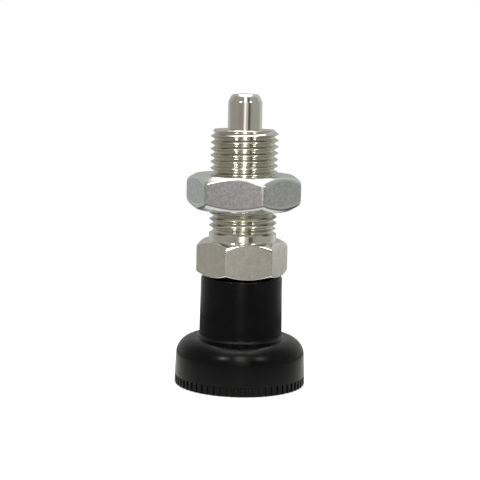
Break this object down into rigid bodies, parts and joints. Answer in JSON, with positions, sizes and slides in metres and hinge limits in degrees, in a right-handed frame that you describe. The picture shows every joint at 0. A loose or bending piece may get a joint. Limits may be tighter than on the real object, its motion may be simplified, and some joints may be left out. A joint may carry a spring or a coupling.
{
  "type": "indexing plunger",
  "caption": "Sprung indexing plunger with a threaded guide body, hexagon collar, lock nut and black pull knob with a serrated rim; pulling the knob draws the locking pin in.",
  "frame": {"origin": "centre of the knob's outer face, which the plunger stands on", "axes": "+Z along the plunger's axis, from the knob's outer face to the tip of the locking pin; two flats of the hexagon collar face +Y and -Y"},
  "size_m": [0.031, 0.031, 0.0689],
  "materials": {
    "body_steel": "bright turned",
    "nut_steel": "bright, faces mottled",
    "pin_steel": "hardened and ground",
    "rod_steel": "drawn",
    "spring_steel": "drawn wire",
    "screw_steel": "zinc plated",
    "bush_brass": "turned",
    "insert_brass": "turned",
    "knob_plastic": "fine matt moulding",
    "cover_plastic": "fine matt moulding"
  },
  "bodies": {
    "housing": {"guide_body": "body_steel", "rear_bush": "bush_brass"},
    "spring": {"return_spring": "spring_steel"},
    "plunger": {"locking_pin": "pin_steel", "pull_rod": "rod_steel", "pull_knob": "knob_plastic", "knob_insert": "insert_brass", "knob_screw": "screw_steel", "knob_washer": "screw_steel", "knob_cover": "cover_plastic"},
    "nut": {"lock_nut": "nut_steel"}
  },
  "joints": [
    {"name": "knob_turn", "type": "hinge", "parent": "housing", "child": "spring", "pos_m": [0, 0, 0], "axis": [0, 0, 1], "continuous": true},
    {"name": "pin_pull", "type": "slide", "parent": "spring", "child": "plunger", "axis": [0, 0, -1], "range_m": [0, 0.0084], "stiffness_N_per_m": 2400, "springref_m": -0.005, "deforming": ["return_spring"]},
    {"name": "lock_nut_travel", "type": "slide", "parent": "housing", "child": "nut", "axis": [0, 0, 1], "range_m": [-0.0045, 0.009]}
  ]
}
